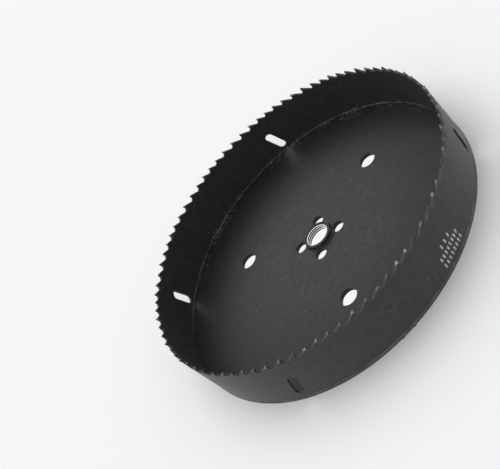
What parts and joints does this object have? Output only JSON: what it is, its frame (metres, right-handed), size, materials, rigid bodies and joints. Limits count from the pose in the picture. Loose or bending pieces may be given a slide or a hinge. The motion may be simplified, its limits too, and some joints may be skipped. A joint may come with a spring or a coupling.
{
  "type": "hole saw",
  "caption": "Large shallow hole saw cup with set hook teeth, slanted slots, a threaded arbor collar, drive pin holes and relief holes.",
  "frame": {"origin": "centre of the flat back face, on the saw's axis", "axes": "+Z along the saw's axis from the back face towards the teeth; +X through the centre of one of the three large relief holes"},
  "size_m": [0.2036, 0.2036, 0.0345],
  "materials": {
    "band_enamel": "satin black enamel over the toothed steel band",
    "plate_enamel": "satin black enamel over the pressed steel plate, bare machined steel at the thread",
    "weld_enamel": "satin black enamel over the weld bead"
  },
  "bodies": {
    "root": {"toothed_band": "band_enamel", "end_plate": "plate_enamel", "weld_bead": "weld_enamel"}
  },
  "joints": []
}
